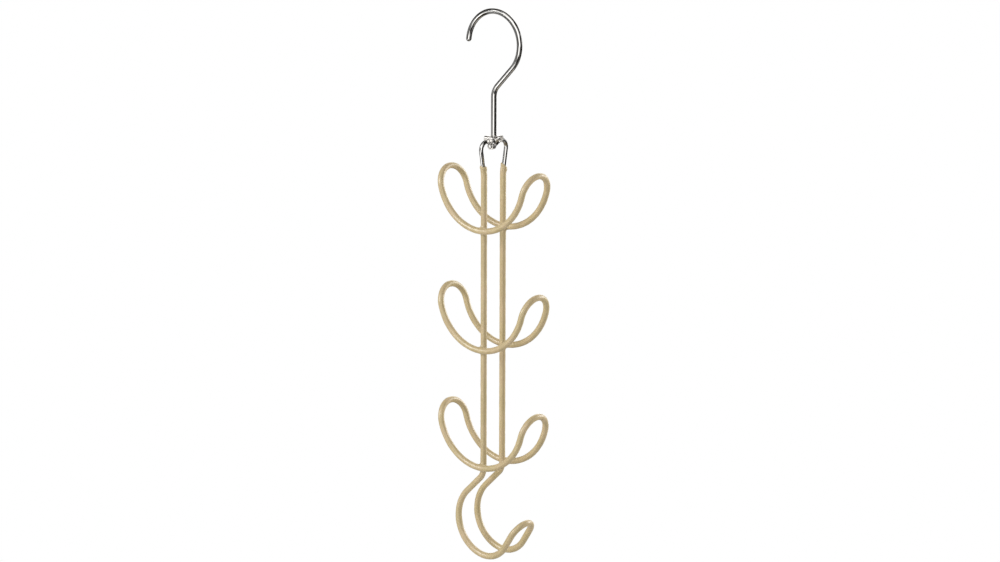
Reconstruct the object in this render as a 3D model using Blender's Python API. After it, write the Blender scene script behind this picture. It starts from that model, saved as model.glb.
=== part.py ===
"""Bag hanger: a swivelling wire hook, a double wire frame with a hook at its foot, and three
saddle-shaped loops welded across the frame, all dip-coated below the bare bail.

Metres, +Z up. The origin is the point inside the top hook that the hanger hangs by.
The loops reach out along X, the two rods stand apart along Y, and the swivel turns about Z.
"""

import math

import bmesh
import bpy
from mathutils import Vector

# Clearances
GAP = 0.0003            # between two pieces that touch on the real hanger
RUN_GAP = 0.0003        # round the shank and its head, which turn in the clip

# Top hook, sizes on the wire's centre line
HOOK_WIRE = 0.0040      # wire diameter
BOWL_RADIUS = 0.0230    # the arc that the hanger hangs by
NECK_RADIUS = 0.0164    # the bend that leads the straight shank out to the bowl
NECK_ANGLE = 52.5       # how far that bend turns, degrees
TIP_PAST_LEVEL = 84.0   # how far the bowl runs down past its widest point, degrees
SHANK_LENGTH = 0.0271   # straight wire between the neck and the clip
HEAD_DIAMETER = 0.0054  # the upset head that carries the load under the clip's plate
HEAD_THICKNESS = 0.0008
HEAD_EDGE = 0.00027     # the chamfer round the head's lower edge

# Clip that joins the frame wire's two ends to the hook
CLIP_SHEET = 0.0008
CLIP_LENGTH = 0.0124    # along Y, over both legs
CLIP_BEND = 0.0010      # bend radius on the middle of the sheet
CLIP_CORNER = 0.0015    # rounding at the foot of each leg
TONGUE_START = -0.0039  # the tongue that is closed round both wire ends, from here along Y
TONGUE_WIDTH = 0.0036
TONGUE_LIP = 0.0013     # how far it comes up again on the far side
TONGUE_SLOPE = 35.0     # degrees
NOTCH_DEPTH = 0.0060    # from the wire's centre line out through the foot of each leg

# Frame: one wire, from the clip round the foot hook and back to the clip
FRAME_WIRE = 0.0030     # bare wire diameter
ROD_SPACING = 0.0210    # between the two rods' centre lines
BAIL_HALF_WIDTH = 0.0137
BAIL_CORNER = 0.0056
BAIL_FLARE = 10.8       # slope of the bail's sides, degrees
FLARE_BEND = 0.0200
BAIL_DIP = 30.0         # slope with which the back end dives under the front end, degrees
FRONT_END_Y = 0.0000    # where the front end of the wire stops
BACK_END_Y = -0.0046    # where the back end of the wire stops

# Foot hook, in the X-Z plane: out to -X, round the bowl and up again to the tip on +X
FOOT_DROP = 0.0012      # from the last loop down to the first bend
FOOT_OUT_RADIUS = 0.0102
FOOT_OUT_ANGLE = 46.0
FOOT_RUN = 0.0168       # straight wire between that bend and the bowl
FOOT_BOWL_RADIUS = 0.0266
FOOT_BOWL_ANGLE = 126.0
FOOT_CLOSE_RADIUS = 0.0210  # the bowl's tighter second part
FOOT_CLOSE_ANGLE = 68.0
FOOT_TIP_LENGTH = 0.0206    # straight, up to the end of the strand

# Loops
LOOP_COUNT = 3
LOOP_NAMES = ("top", "middle", "bottom")
LOOP_WIRE = 0.0030
LOOP_RADIUS = 0.0380    # the saddle's bend
LOOP_ANGLE = 75.0       # on each side of the frame, degrees
LOOP_LEG = 0.0137       # straight end of each side, up to the tip
FIRST_LOOP_DROP = 0.0664  # from the clip's top to the first loop's lowest centre line
LOOP_PITCH = 0.0861

# Dip coating
COAT = 0.00075          # from the wire's surface to the coating's surface
COAT_DROP = 0.0212      # from the clip's top to the coating's upper rim
RIM_SWELL = 1.10        # the bead at that rim, as a share of the coated diameter
RIM_EDGE = 0.92         # the rim's very edge, as a share of the coated diameter
RIM_LENGTH = 0.0012
RIM_EASE = 1.5          # the bead has closed in after this many rim lengths

# Facets
ARC_STEP = 11.0         # degrees of bend between two sections of a wire
TIP_STEPS = 10          # sections round the half circle that joins two strands
TIP_MARGIN = 0.0010     # no section of a strand lies nearer than this to that half circle
BALL_STEPS = (30.0, 55.0, 75.0)  # sections of a wire's ball end, degrees
SHARP_ANGLE = 50.0      # edges sharper than this stay hard, degrees
SAME_PLACE = 0.000001   # vertices closer than this are one
HOOK_SIDES = 16
WIRE_SIDES = 8
COAT_SIDES = 10
WINDOW_SIDES = 12
WINDOW_HEIGHT = 0.0180  # length of the guides that cut the windows, along the rods
WINDOW_WIDTH = 0.0090   # and along the loops
TURNED_SIDES = 24

# Heights, all worked down from the point that the hanger hangs by
BOWL_Z = -(BOWL_RADIUS - HOOK_WIRE / 2)
NECK_RUN = (
    BOWL_RADIUS * math.cos(math.radians(NECK_ANGLE))
    - NECK_RADIUS * (1 - math.cos(math.radians(NECK_ANGLE)))
) / math.sin(math.radians(NECK_ANGLE))
NECK_Z = (
    BOWL_Z
    - (BOWL_RADIUS + NECK_RADIUS) * math.sin(math.radians(NECK_ANGLE))
    - NECK_RUN * math.cos(math.radians(NECK_ANGLE))
)
CLIP_TOP = NECK_Z - SHANK_LENGTH
PLATE_UNDER = CLIP_TOP - CLIP_SHEET
HEAD_TOP = PLATE_UNDER - RUN_GAP
HEAD_BOTTOM = HEAD_TOP - HEAD_THICKNESS
UPPER_END_Z = HEAD_BOTTOM - RUN_GAP - FRAME_WIRE / 2
LOWER_END_Z = UPPER_END_Z - FRAME_WIRE - GAP
COAT_TOP = CLIP_TOP - COAT_DROP
LOOP_Z = [CLIP_TOP - FIRST_LOOP_DROP - i * LOOP_PITCH for i in range(LOOP_COUNT)]
FOOT_Z = LOOP_Z[-1]

# Widths that follow from what they hold
CLIP_WIDTH = HEAD_DIAMETER + 2 * (RUN_GAP + CLIP_SHEET)
WELD_DISTANCE = FRAME_WIRE / 2 + LOOP_WIRE / 2 + GAP
LOOP_HALF_WIDTH = ROD_SPACING / 2 + WELD_DISTANCE
FRAME_COATED = FRAME_WIRE + 2 * COAT
LOOP_COATED = LOOP_WIRE + 2 * COAT


def clear_scene():
    """Remove every object of the start-up scene."""
    for item in list(bpy.data.objects):
        bpy.data.objects.remove(item, do_unlink=True)


def material(name, colour, metallic, roughness):
    """One Principled material of a plain colour."""
    made = bpy.data.materials.new(name)
    made.use_nodes = True
    shader = made.node_tree.nodes["Principled BSDF"]
    shader.inputs["Base Color"].default_value = (*colour, 1.0)
    shader.inputs["Metallic"].default_value = metallic
    shader.inputs["Roughness"].default_value = roughness
    made.diffuse_color = (*colour, 1.0)
    return made


def place(mesh, name, finish, parent=None):
    """Put a mesh into the scene as a named object under its parent."""
    item = bpy.data.objects.new(name, mesh)
    bpy.context.collection.objects.link(item)
    if finish is not None and not mesh.materials:
        mesh.materials.append(finish)
    if parent is not None:
        item.parent = parent
        item.location = -parent.location
    return item


def cut(item, tool, operation="DIFFERENCE"):
    """Cut an object with a guide, or join the two, and keep the guide itself out of sight."""
    tool.hide_render = True
    tool.display_type = "WIRE"
    step = item.modifiers.new(tool.name, "BOOLEAN")
    step.operation = operation
    step.solver = "EXACT"
    step.object = tool


# A flat path is a list of moves: (length, turn in degrees), where no turn is a straight run.


def turn(radius, angle):
    """The move along an arc. A positive angle turns left."""
    return (radius * math.radians(abs(angle)), angle)


def stations(moves):
    """Distances along a flat path at which a section is needed."""
    found = [0.0]
    for length, angle in moves:
        parts = max(1, math.ceil(abs(angle) / ARC_STEP))
        start = found[-1]
        found += [start + length * (i + 1) / parts for i in range(parts)]
    return found


def along(moves, start, heading, distance):
    """The point of a flat path at a distance from its start, exact on runs and arcs."""
    across, up = start
    course = math.radians(heading)
    left = distance
    for number, (length, angle) in enumerate(moves):
        part = left if number == len(moves) - 1 else min(left, length)
        bend = math.radians(angle) * part / length
        if bend == 0:
            across += part * math.cos(course)
            up += part * math.sin(course)
        else:
            radius = part / bend
            across += radius * (math.sin(course + bend) - math.sin(course))
            up -= radius * (math.cos(course + bend) - math.cos(course))
        course += bend
        left -= part
        if left <= 0:
            break
    return across, up


def flat_path(moves, start, heading):
    """All the points of a flat path."""
    return [along(moves, start, heading, distance) for distance in stations(moves)]


def tube_mesh(name, points, diameter, sides, closed=False, swell=None):
    """A round wire or bore along the points: a bevelled curve with filled caps, as a mesh."""
    line = bpy.data.curves.new(name, "CURVE")
    line.dimensions = "3D"
    line.twist_mode = "MINIMUM"
    line.bevel_depth = diameter / 2
    line.bevel_resolution = sides // 2 - 2
    line.use_fill_caps = not closed
    spline = line.splines.new("POLY")
    spline.points.add(len(points) - 1)
    spline.use_cyclic_u = closed
    for knot, point, share in zip(spline.points, points, swell or [1.0] * len(points)):
        knot.co = (*point, 1.0)
        knot.radius = share
    carrier = bpy.data.objects.new(name, line)
    bpy.context.collection.objects.link(carrier)
    shape = carrier.evaluated_get(bpy.context.evaluated_depsgraph_get())
    mesh = bpy.data.meshes.new_from_object(shape)
    mesh.name = name
    bpy.data.objects.remove(carrier, do_unlink=True)
    bpy.data.curves.remove(line)
    clean = bmesh.new()
    clean.from_mesh(mesh)
    bmesh.ops.remove_doubles(clean, verts=clean.verts, dist=SAME_PLACE)
    bmesh.ops.recalc_face_normals(clean, faces=clean.faces)
    clean.to_mesh(mesh)
    clean.free()
    mesh.shade_smooth()
    mesh.set_sharp_from_angle(angle=math.radians(SHARP_ANGLE))
    return mesh


def prism_mesh(name, outline, low, high, lay):
    """An outline drawn out from low to high. lay(a, b, c) turns its three measures into a place."""
    shape = bmesh.new()
    base = [shape.verts.new(lay(a, b, low)) for a, b in outline]
    face = shape.faces.new(base)
    drawn = bmesh.ops.extrude_face_region(shape, geom=[face])
    shift = Vector(lay(0, 0, high)) - Vector(lay(0, 0, low))
    moved = [item for item in drawn["geom"] if isinstance(item, bmesh.types.BMVert)]
    bmesh.ops.translate(shape, verts=moved, vec=shift)
    bmesh.ops.recalc_face_normals(shape, faces=shape.faces)
    mesh = bpy.data.meshes.new(name)
    shape.to_mesh(mesh)
    shape.free()
    return mesh


def ribbon(points, thickness):
    """The outline of a bent sheet, seen on its edge: its middle line, offset to both sides."""
    near, far = [], []
    for number, (a, b) in enumerate(points):
        before = points[max(0, number - 1)]
        after = points[min(len(points) - 1, number + 1)]
        course = math.atan2(after[1] - before[1], after[0] - before[0])
        side = Vector((-math.sin(course), math.cos(course))) * thickness / 2
        near.append((a + side.x, b + side.y))
        far.append((a - side.x, b - side.y))
    return near + far[::-1]


def turned_mesh(name, profile):
    """A solid of revolution about Z from (radius, height) points, top to bottom."""
    shape = bmesh.new()
    chain = [shape.verts.new((radius, 0, height)) for radius, height in profile]
    edges = [shape.edges.new(pair) for pair in zip(chain, chain[1:])]
    bmesh.ops.spin(
        shape,
        geom=chain + edges,
        cent=(0, 0, 0),
        axis=(0, 0, 1),
        angle=2 * math.pi,
        steps=TURNED_SIDES,
        use_merge=True,
    )
    bmesh.ops.remove_doubles(shape, verts=shape.verts, dist=SAME_PLACE)
    bmesh.ops.recalc_face_normals(shape, faces=shape.faces)
    mesh = bpy.data.meshes.new(name)
    shape.to_mesh(mesh)
    shape.free()
    mesh.shade_smooth()
    mesh.set_sharp_from_angle(angle=math.radians(SHARP_ANGLE))
    return mesh


def hook_points():
    """The hook's centre line, from inside its head up the shank and round the bowl to the tip."""
    moves = [
        (NECK_Z - (HEAD_TOP - HEAD_THICKNESS / 2), 0.0),
        turn(NECK_RADIUS, -NECK_ANGLE),
        (NECK_RUN, 0.0),
        turn(BOWL_RADIUS, NECK_ANGLE + 90.0 + TIP_PAST_LEVEL),
    ]
    line = flat_path(moves, (0.0, HEAD_TOP - HEAD_THICKNESS / 2), 90.0)
    return [(x, 0.0, z) for x, z in line]


def rounded_tip(points, radius):
    """Carry a wire on past its last point by a ball end: extra points and their radius shares."""
    last, before = Vector(points[-1]), Vector(points[-2])
    way = (last - before).normalized()
    reach = [math.radians(angle) for angle in BALL_STEPS]
    extra = [tuple(last + way * radius * math.sin(angle)) for angle in reach]
    return points + extra, [1.0] * len(points) + [math.cos(angle) for angle in reach]


def make_hook(finish):
    """The wire hook with its head. The head turns under the clip's plate."""
    points, shares = rounded_tip(hook_points(), HOOK_WIRE / 2)
    hook = place(tube_mesh("hook", points, HOOK_WIRE, HOOK_SIDES, swell=shares), "hook", finish)
    profile = [
        (0.0, HEAD_TOP),
        (HEAD_DIAMETER / 2, HEAD_TOP),
        (HEAD_DIAMETER / 2, HEAD_BOTTOM + HEAD_EDGE),
        (HEAD_DIAMETER / 2 - HEAD_EDGE, HEAD_BOTTOM),
        (0.0, HEAD_BOTTOM),
    ]
    cut(hook, place(turned_mesh("hook_head", profile), "hook_head", None), "UNION")
    return hook


def saddle_outline():
    """The clip's plate and legs on edge, in Y and Z."""
    leg_y = CLIP_LENGTH / 2 - CLIP_SHEET / 2
    foot = UPPER_END_Z - FRAME_WIRE / 2
    plate = CLIP_TOP - CLIP_SHEET / 2
    moves = [
        (plate - CLIP_BEND - foot, 0.0),
        turn(CLIP_BEND, -90.0),
        (2 * (leg_y - CLIP_BEND), 0.0),
        turn(CLIP_BEND, -90.0),
        (plate - CLIP_BEND - foot, 0.0),
    ]
    return ribbon(flat_path(moves, (-leg_y, foot), 90.0), CLIP_SHEET)


def leg_outline():
    """The legs' shape from the front, in X and Z: square at the plate, rounded at the foot."""
    half = CLIP_WIDTH / 2
    foot = UPPER_END_Z - FRAME_WIRE / 2
    moves = [
        (CLIP_TOP + CLIP_SHEET - foot - CLIP_CORNER, 0.0),
        turn(CLIP_CORNER, 90.0),
        (2 * (half - CLIP_CORNER), 0.0),
        turn(CLIP_CORNER, 90.0),
        (CLIP_TOP + CLIP_SHEET - foot - CLIP_CORNER, 0.0),
    ]
    return flat_path(moves, (-half, CLIP_TOP + CLIP_SHEET), -90.0)


def notch_outline():
    """The notch that seats each leg over the wire, in X and Z, open at the foot."""
    radius = FRAME_WIRE / 2 + GAP
    moves = [(NOTCH_DEPTH, 0.0), turn(radius, 180.0), (NOTCH_DEPTH, 0.0)]
    return flat_path(moves, (radius, UPPER_END_Z - NOTCH_DEPTH), 90.0)


def tongue_outline():
    """The tongue on edge, in X and Z: down past the head, in to the wires and round below them."""
    plate = CLIP_TOP - CLIP_SHEET / 2
    out = CLIP_WIDTH / 2 - CLIP_SHEET / 2
    wrap = FRAME_WIRE / 2 + GAP + CLIP_SHEET / 2
    slope = math.radians(TONGUE_SLOPE)
    ease = CLIP_BEND * (1 - math.cos(slope))
    slant = (out - wrap - 2 * ease) / math.sin(slope)
    straight = plate - CLIP_BEND - (HEAD_BOTTOM - RUN_GAP)
    used = 2 * CLIP_BEND * math.sin(slope) + slant * math.cos(slope)
    rest = HEAD_BOTTOM - RUN_GAP - used - LOWER_END_Z
    moves = [
        (out - CLIP_BEND, 0.0),
        turn(CLIP_BEND, 90.0),
        (straight, 0.0),
        turn(CLIP_BEND, TONGUE_SLOPE),
        (slant, 0.0),
        turn(CLIP_BEND, -TONGUE_SLOPE),
        (rest, 0.0),
        turn(wrap, 180.0),
        (TONGUE_LIP, 0.0),
    ]
    return ribbon(flat_path(moves, (0.0, plate), 180.0), CLIP_SHEET)


def make_clip(finish, parent):
    """The folded clip: plate and legs over the wires, and a tongue closed round both ends."""

    def from_front(a, b, c):
        return (a, c, b)

    def from_side(a, b, c):
        return (c, a, b)

    half = CLIP_WIDTH / 2
    saddle = prism_mesh("swivel_clip", saddle_outline(), -half - GAP, half + GAP, from_side)
    clip = place(saddle, "swivel_clip", finish, parent)
    reach = CLIP_LENGTH
    legs = prism_mesh("clip_leg_shape", leg_outline(), -reach, reach, from_front)
    cut(clip, place(legs, "clip_leg_shape", None, parent), "INTERSECT")
    notch = prism_mesh("clip_notch", notch_outline(), -reach, reach, from_front)
    cut(clip, place(notch, "clip_notch", None, parent))
    end = TONGUE_START + TONGUE_WIDTH
    tongue = prism_mesh("clip_tongue", tongue_outline(), TONGUE_START, end, from_front)
    cut(clip, place(tongue, "clip_tongue", None, parent), "UNION")
    hole = HOOK_WIRE / 2 + RUN_GAP
    bore = [(0.0, CLIP_TOP + GAP), (hole, CLIP_TOP + GAP)]
    bore += [(hole, HEAD_TOP), (0.0, HEAD_TOP)]
    cut(clip, place(turned_mesh("clip_bore", bore), "clip_bore", None, parent))
    return clip


def bail_half(end_y, dip):
    """One side of the bail in (distance out, height): from the wire's end to the top of the rod."""
    flare = math.radians(BAIL_FLARE)
    slope = math.radians(dip)
    corner_y = BAIL_HALF_WIDTH - BAIL_CORNER
    end_z = LOWER_END_Z if dip else UPPER_END_Z
    bend_out = 2 * BAIL_CORNER * math.sin(slope)
    climb = (UPPER_END_Z - end_z) - 2 * BAIL_CORNER * (1 - math.cos(slope))
    slant = climb / math.sin(slope) if dip else 0.0
    level = corner_y - bend_out - slant * math.cos(slope) - end_y
    side_y = corner_y + BAIL_CORNER * math.cos(flare) - ROD_SPACING / 2
    side = side_y / math.sin(flare) - FLARE_BEND * math.tan(flare / 2)
    moves = [(level, 0.0)]
    if dip:
        moves += [turn(BAIL_CORNER, dip), (slant, 0.0)]
    moves += [
        turn(BAIL_CORNER, -(90.0 + BAIL_FLARE + dip)),
        (side, 0.0),
        turn(FLARE_BEND, BAIL_FLARE),
    ]
    return flat_path(moves, (end_y, end_z), 0.0)


def carried(moves, start_z, heading, flat):
    """Bend a flat outline of (distance along, place across) onto a path in the X-Z plane."""
    points = []
    for distance, across in flat:
        x, z = along(moves, (0.0, start_z), heading, abs(distance))
        points.append((math.copysign(x, distance) if distance < 0 else x, across, z))
    return points


def frame_points():
    """The frame wire's centre line, from the clip down the front rod, round and up the back."""
    half = ROD_SPACING / 2
    front = [(0.0, -y, z) for y, z in bail_half(-FRONT_END_Y, 0.0)]
    back = [(0.0, y, z) for y, z in bail_half(BACK_END_Y, BAIL_DIP)]
    moves = [
        (FOOT_DROP, 0.0),
        turn(FOOT_OUT_RADIUS, -FOOT_OUT_ANGLE),
        (FOOT_RUN, 0.0),
        turn(FOOT_BOWL_RADIUS, FOOT_BOWL_ANGLE),
        turn(FOOT_CLOSE_RADIUS, FOOT_CLOSE_ANGLE),
        (FOOT_TIP_LENGTH, 0.0),
    ]
    reach = sum(length for length, angle in moves)
    strand = [place for place in stations(moves) if place < reach - half - TIP_MARGIN]
    tip = [math.pi * i / TIP_STEPS for i in range(TIP_STEPS + 1)]
    flat = [(place, -half) for place in strand]
    flat += [(reach - half + half * math.sin(a), -half * math.cos(a)) for a in tip]
    flat += [(place, half) for place in strand[::-1]]
    return front + carried(moves, FOOT_Z, -90.0, flat) + back[::-1]


def coated_part(points):
    """The part of the frame's centre line that is coated, cut at the rim's height."""
    inside = [i for i, point in enumerate(points) if point[2] < COAT_TOP]
    first, last = inside[0], inside[-1]

    def rim(above, below):
        share = (COAT_TOP - below[2]) / (above[2] - below[2])
        return tuple(b + (a - b) * share for a, b in zip(above, below))

    start = rim(points[first - 1], points[first])
    end = rim(points[last + 1], points[last])
    return [start] + points[first : last + 1] + [end]


def beaded(points):
    """Add the bead at both rims: short sections that swell and close in again."""
    swell = [RIM_EDGE, RIM_SWELL, 1.0]
    steps = [0.0, RIM_LENGTH / 2, RIM_EASE * RIM_LENGTH]

    def rim(edge, inner):
        way = (Vector(inner) - Vector(edge)).normalized()
        return [tuple(Vector(edge) + way * step) for step in steps]

    start = rim(points[0], points[1])
    end = rim(points[-1], points[-2])[::-1]
    middle = points[1:-1]
    return start + middle + end, swell + [1.0] * len(middle) + swell[::-1]


def loop_points():
    """One loop's centre line about its lowest level: a long ring bent to a saddle along X."""
    moves = [turn(LOOP_RADIUS, LOOP_ANGLE), (LOOP_LEG, 0.0)]
    reach = sum(length for length, angle in moves)
    half = LOOP_HALF_WIDTH
    strand = [place for place in stations(moves) if 0 < place < reach - half - TIP_MARGIN]
    tip = [math.pi * i / TIP_STEPS for i in range(TIP_STEPS + 1)]
    side = [(place, -half) for place in [0.0] + strand]
    side += [(reach - half + half * math.sin(a), -half * math.cos(a)) for a in tip]
    side += [(place, half) for place in strand[::-1]]
    flat = side + [(-distance, -across) for distance, across in side]
    return carried(moves, 0.0, 0.0, flat)


def make_frame(bare, skin, parent):
    """The bare frame wire, and the hollow coating that closes round it below the bail."""
    points = frame_points()
    wire = tube_mesh("frame_wire", points, FRAME_WIRE, WIRE_SIDES)
    place(wire, "frame_wire", bare, parent)
    outside, swell = beaded(coated_part(points))
    skin_mesh = tube_mesh("frame_coating", outside, FRAME_COATED, COAT_SIDES, swell=swell)
    coating = place(skin_mesh, "frame_coating", skin, parent)
    bore = tube_mesh("frame_bore", points, FRAME_WIRE + 2 * GAP, WIRE_SIDES)
    cut(coating, place(bore, "frame_bore", None, parent))
    return coating


def weld_guides(parent):
    """Guides for the windows in the coatings, where each loop wire meets a rod."""
    rods = bmesh.new()
    loops = bmesh.new()
    for side in (-1, 1):
        rod_y = side * ROD_SPACING / 2
        add_rod(rods, (0, rod_y, 0), FRAME_COATED / 2 + GAP, "Z", WINDOW_HEIGHT)
        for level in LOOP_Z:
            centre = (0, side * LOOP_HALF_WIDTH, level)
            add_rod(loops, centre, LOOP_WIRE / 2 + GAP, "X", WINDOW_WIDTH)
    guides = []
    for name, shape in (("rod_guide", rods), ("loop_guide", loops)):
        mesh = bpy.data.meshes.new(name)
        shape.to_mesh(mesh)
        shape.free()
        guides.append(place(mesh, name, None, parent))
    return guides


def add_rod(shape, centre, radius, axis, length):
    """Add a straight rod to a guide, along X or Z, about its centre."""
    made = bmesh.ops.create_cone(
        shape,
        cap_ends=True,
        segments=WINDOW_SIDES,
        radius1=radius,
        radius2=radius,
        depth=length,
    )
    for vertex in made["verts"]:
        x, y, z = vertex.co
        vertex.co = Vector(centre) + Vector((z, y, -x) if axis == "X" else (x, y, z))


def make_loops(bare, skin, parent, rod_guide):
    """Each loop's wire and its hollow coating, with windows where the rods' coating passes."""
    points = loop_points()
    wire = tube_mesh("loop_wire", points, LOOP_WIRE, WIRE_SIDES, closed=True)
    skin_mesh = tube_mesh("loop_coating", points, LOOP_COATED, COAT_SIDES, closed=True)
    bore = tube_mesh("loop_bore", points, LOOP_WIRE + 2 * GAP, WIRE_SIDES, closed=True)
    for number, level in enumerate(LOOP_Z):
        label = LOOP_NAMES[number] if number < len(LOOP_NAMES) else str(number + 1)
        core = place(wire, "loop_wire_" + label, bare, parent)
        coating = place(skin_mesh, "loop_coating_" + label, skin, parent)
        hollow = place(bore, "loop_bore_" + label, None, parent)
        windows = place(rod_guide.data, "rod_guide_" + label, None, parent)
        for item in (core, coating, hollow, windows):
            item.location.z += level
        cut(coating, hollow)
        cut(coating, windows)


def build():
    """Make every piece in its place."""
    clear_scene()
    chrome = material("chrome_plate", (0.80, 0.80, 0.80), 1.0, 0.12)
    steel = material("bare_steel", (0.55, 0.55, 0.55), 1.0, 0.35)
    vinyl = material("vinyl_coat", (0.56, 0.44, 0.26), 0.0, 0.42)
    make_hook(chrome)
    swivel = bpy.data.objects.new("hanger_swivel", None)
    bpy.context.collection.objects.link(swivel)
    swivel.location = (0.0, 0.0, CLIP_TOP)
    make_clip(chrome, swivel)
    coating = make_frame(chrome, vinyl, swivel)
    rod_guide, loop_guide = weld_guides(swivel)
    cut(coating, loop_guide)
    make_loops(steel, vinyl, swivel, rod_guide)
    rod_guide.hide_render = True
    rod_guide.display_type = "WIRE"


build()
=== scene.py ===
import math

import bmesh
import bpy
import numpy as np
from mathutils import Matrix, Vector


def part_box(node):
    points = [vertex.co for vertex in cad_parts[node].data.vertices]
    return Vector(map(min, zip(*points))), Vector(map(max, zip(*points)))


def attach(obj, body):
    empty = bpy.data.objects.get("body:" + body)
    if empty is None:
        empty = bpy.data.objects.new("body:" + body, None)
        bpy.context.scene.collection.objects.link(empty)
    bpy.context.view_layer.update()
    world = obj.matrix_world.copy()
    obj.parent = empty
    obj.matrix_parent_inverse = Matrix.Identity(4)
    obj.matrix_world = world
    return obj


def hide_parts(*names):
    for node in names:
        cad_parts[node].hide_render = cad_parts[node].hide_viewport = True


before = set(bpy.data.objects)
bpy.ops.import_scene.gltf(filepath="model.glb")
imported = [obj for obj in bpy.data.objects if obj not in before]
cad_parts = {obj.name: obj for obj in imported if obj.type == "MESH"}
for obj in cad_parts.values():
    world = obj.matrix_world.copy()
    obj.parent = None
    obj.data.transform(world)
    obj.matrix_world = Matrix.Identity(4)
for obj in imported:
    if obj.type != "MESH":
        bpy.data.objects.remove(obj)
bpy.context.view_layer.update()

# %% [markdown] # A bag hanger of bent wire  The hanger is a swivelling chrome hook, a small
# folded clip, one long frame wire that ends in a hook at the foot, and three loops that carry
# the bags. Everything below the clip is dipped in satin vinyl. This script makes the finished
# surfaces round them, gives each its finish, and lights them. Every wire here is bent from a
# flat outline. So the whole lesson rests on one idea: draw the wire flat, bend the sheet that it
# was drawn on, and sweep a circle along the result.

MM = 0.001

# %% [markdown]
# ## The sizes
#
# A maker's drawing gives a wire by its centre line: straight runs and the radius of each bend.
# The same numbers serve here, in metres. The origin is the point inside the top hook that the
# hanger hangs by, and all depths are counted down from there. The clip's depth is read off its
# solid, so everything hangs at the solids' own height. The bends can't be read that way, because
# a box tells nothing about a bend. The neck's bend is a little tighter here than in the solid,
# and turns less far, which is truer to the real hook.

# %% Sizes of the wires
HOOK_WIRE = 4.0 * MM
BOWL_RADIUS = 23.0 * MM
NECK_RADIUS = 11.4 * MM
NECK_ANGLE = 45.2
TIP_PAST_LEVEL = 84.0

BARE_WIRE = 3.0 * MM
COAT = 0.75 * MM
COAT_DROP = 21.2 * MM
ROD_SPACING = 21.0 * MM
STRIP = 0.8 * MM
GAP = 0.3 * MM
HAIR = 0.01 * MM

neck_run = (
    BOWL_RADIUS * math.cos(math.radians(NECK_ANGLE))
    - NECK_RADIUS * (1 - math.cos(math.radians(NECK_ANGLE)))
) / math.sin(math.radians(NECK_ANGLE))
neck_depth = (
    (BOWL_RADIUS - HOOK_WIRE / 2)
    + (BOWL_RADIUS + NECK_RADIUS) * math.sin(math.radians(NECK_ANGLE))
    + neck_run * math.cos(math.radians(NECK_ANGLE))
)
CLIP_DEPTH = -float(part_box("swivel_clip")[1][2])
FIRST_LOOP = 66.4 * MM
LOOP_PITCH = 86.1 * MM
LOOP_DEPTHS = [CLIP_DEPTH + FIRST_LOOP + LOOP_PITCH * number for number in range(3)]
FOOT_DROP = 1.2 * MM
FOOT_OUT = 10.2 * MM
FOOT_DEPTH = LOOP_DEPTHS[-1] + FOOT_DROP
print("clip's top at", round(CLIP_DEPTH / MM, 2), "mm")
print("loops at", [round(depth / MM, 2) for depth in LOOP_DEPTHS], "mm")

# %% [markdown]
# ## Following a bent line
#
# A wire bender sees a wire as a list of runs: go 15 mm straight, bend 101 degrees round a 5 mm
# former, go on. Within one run the course turns at an even rate. A curve object could be given
# such points one by one, but its bends would then be faceted or only nearly round. The closed
# form of an arc's chord gives exact places, and numpy works them out for all distances at once.

# %% A path of straight runs and arcs
def bend(radius, angle):
    """The run along a bend. A positive angle turns left."""
    return (radius * math.radians(abs(angle)), angle)


def length_of(runs):
    """The whole length of a list of runs."""
    return sum(length for length, angle in runs)


def follow(distance, runs, start, heading):
    """Places and course at an array of distances along straight runs and arcs.

    On a run of length L that turns by A, after a part p the course has turned by b = A p / L.
    The chord to that point is p sin(b / 2) / (b / 2), at the run's first course plus b / 2.
    """
    length = np.array([run[0] for run in runs])
    angle = np.radians([run[1] for run in runs])
    begins = np.cumsum(length) - length
    course = math.radians(heading) + np.cumsum(angle) - angle
    chord = length * np.sinc(angle / 2 / np.pi)
    step_a = chord * np.cos(course + angle / 2)
    step_b = chord * np.sin(course + angle / 2)
    first_a = start[0] + np.cumsum(step_a) - step_a
    first_b = start[1] + np.cumsum(step_b) - step_b
    run = np.clip(np.searchsorted(begins, distance, side="right") - 1, 0, len(runs) - 1)
    part = distance - begins[run]
    turned = angle[run] * part / length[run]
    chord = part * np.sinc(turned / 2 / np.pi)
    middle = course[run] + turned / 2
    place_a = first_a[run] + chord * np.cos(middle)
    place_b = first_b[run] + chord * np.sin(middle)
    return place_a, place_b, course[run] + turned


quarter = follow(np.array([0.0, math.pi / 2]), [bend(1.0, 90.0)], (0.0, 0.0), 0.0)
print("a quarter circle ends at", round(quarter[0][1], 4), round(quarter[1][1], 4))

# %% [markdown]
# ## Bending the sheet
#
# The saddle-shaped loops and the double hook at the foot look hard, because they curve two ways
# at once. On the bench they are made in two steps: bend the wire flat into its outline, then
# press that outline over a former. The surface does the same. A first path gives each point's
# distance along the sheet and place across it. A second path bends the sheet in the X-Z plane,
# and the place across stays on Y. The sheet's own normal is at right angles to the wire
# everywhere, so it also keeps the swept circle from twisting.

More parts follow.
